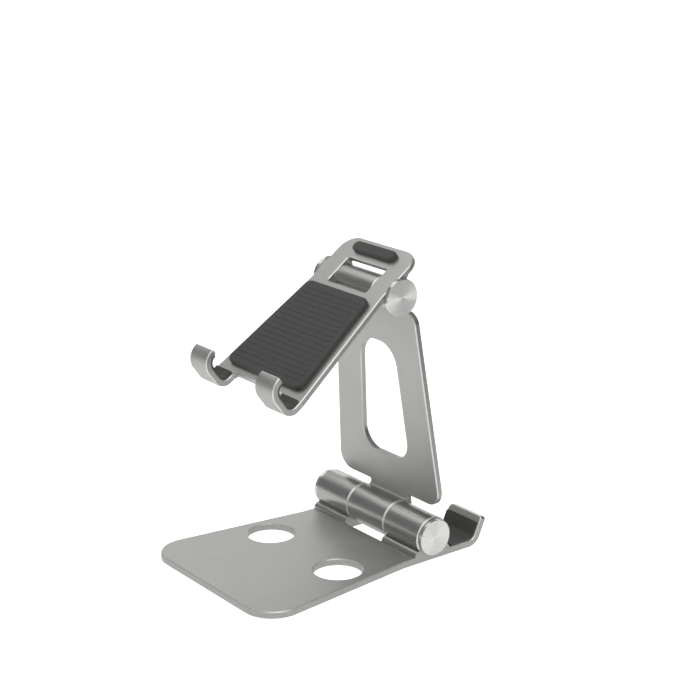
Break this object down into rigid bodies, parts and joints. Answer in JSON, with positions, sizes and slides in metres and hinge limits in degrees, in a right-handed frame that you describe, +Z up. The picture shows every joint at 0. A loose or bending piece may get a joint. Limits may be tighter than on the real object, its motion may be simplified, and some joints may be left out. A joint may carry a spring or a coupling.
{
  "type": "phone stand",
  "caption": "Folding desk stand for a phone: a flat base with rear hooks, a windowed arm on a friction hinge and a tilting cradle with front hooks.",
  "frame": {"origin": "middle of the base's footprint, on the surface that its feet touch", "axes": "+X to the user's right along both hinge axes, -Y towards the user, +Z up"},
  "size_m": [0.0764, 0.109, 0.1166],
  "materials": {
    "satin_anodised_aluminium": "satin anodised, fine blasted grain",
    "turned_aluminium": "turned, concentric tool rings",
    "hinge_steel": "machined and plated",
    "nylon": "matte moulded",
    "dark_silicone": "matte soft-touch"
  },
  "bodies": {
    "base": {"base_plate": "satin_anodised_aluminium", "front_foot": "dark_silicone", "rear_foot_left": "dark_silicone", "rear_foot_right": "dark_silicone", "rear_hook_pad_left": "dark_silicone", "rear_hook_pad_right": "dark_silicone", "lower_hinge_bolt": "hinge_steel", "lower_hinge_nut": "hinge_steel", "lower_hinge_disc_springs": "hinge_steel", "lower_hinge_friction_washers": "nylon", "lower_hinge_end_cap_left": "turned_aluminium", "lower_hinge_end_cap_right": "turned_aluminium"},
    "arm": {"arm_plate": "satin_anodised_aluminium", "lower_hinge_bush_left": "nylon", "lower_hinge_bush_right": "nylon", "upper_hinge_bush_left": "nylon", "upper_hinge_bush_right": "nylon"},
    "cradle": {"cradle_plate": "satin_anodised_aluminium", "back_pad": "dark_silicone", "top_pad": "dark_silicone", "hook_pad_left": "dark_silicone", "hook_pad_right": "dark_silicone", "upper_hinge_bolt": "hinge_steel", "upper_hinge_nut": "hinge_steel", "upper_hinge_disc_springs": "hinge_steel", "upper_hinge_friction_washers": "nylon", "upper_hinge_end_cap_left": "turned_aluminium", "upper_hinge_end_cap_right": "turned_aluminium"}
  },
  "joints": [
    {"name": "lower_hinge", "type": "hinge", "parent": "base", "child": "arm", "pos_m": [0, 0.0274, 0.0103], "axis": [1, 0, 0], "range_deg": [-73, 48]},
    {"name": "upper_hinge", "type": "hinge", "parent": "arm", "child": "cradle", "pos_m": [0, 0.01932, 0.10246], "axis": [1, 0, 0], "range_deg": [-92, 64]}
  ]
}
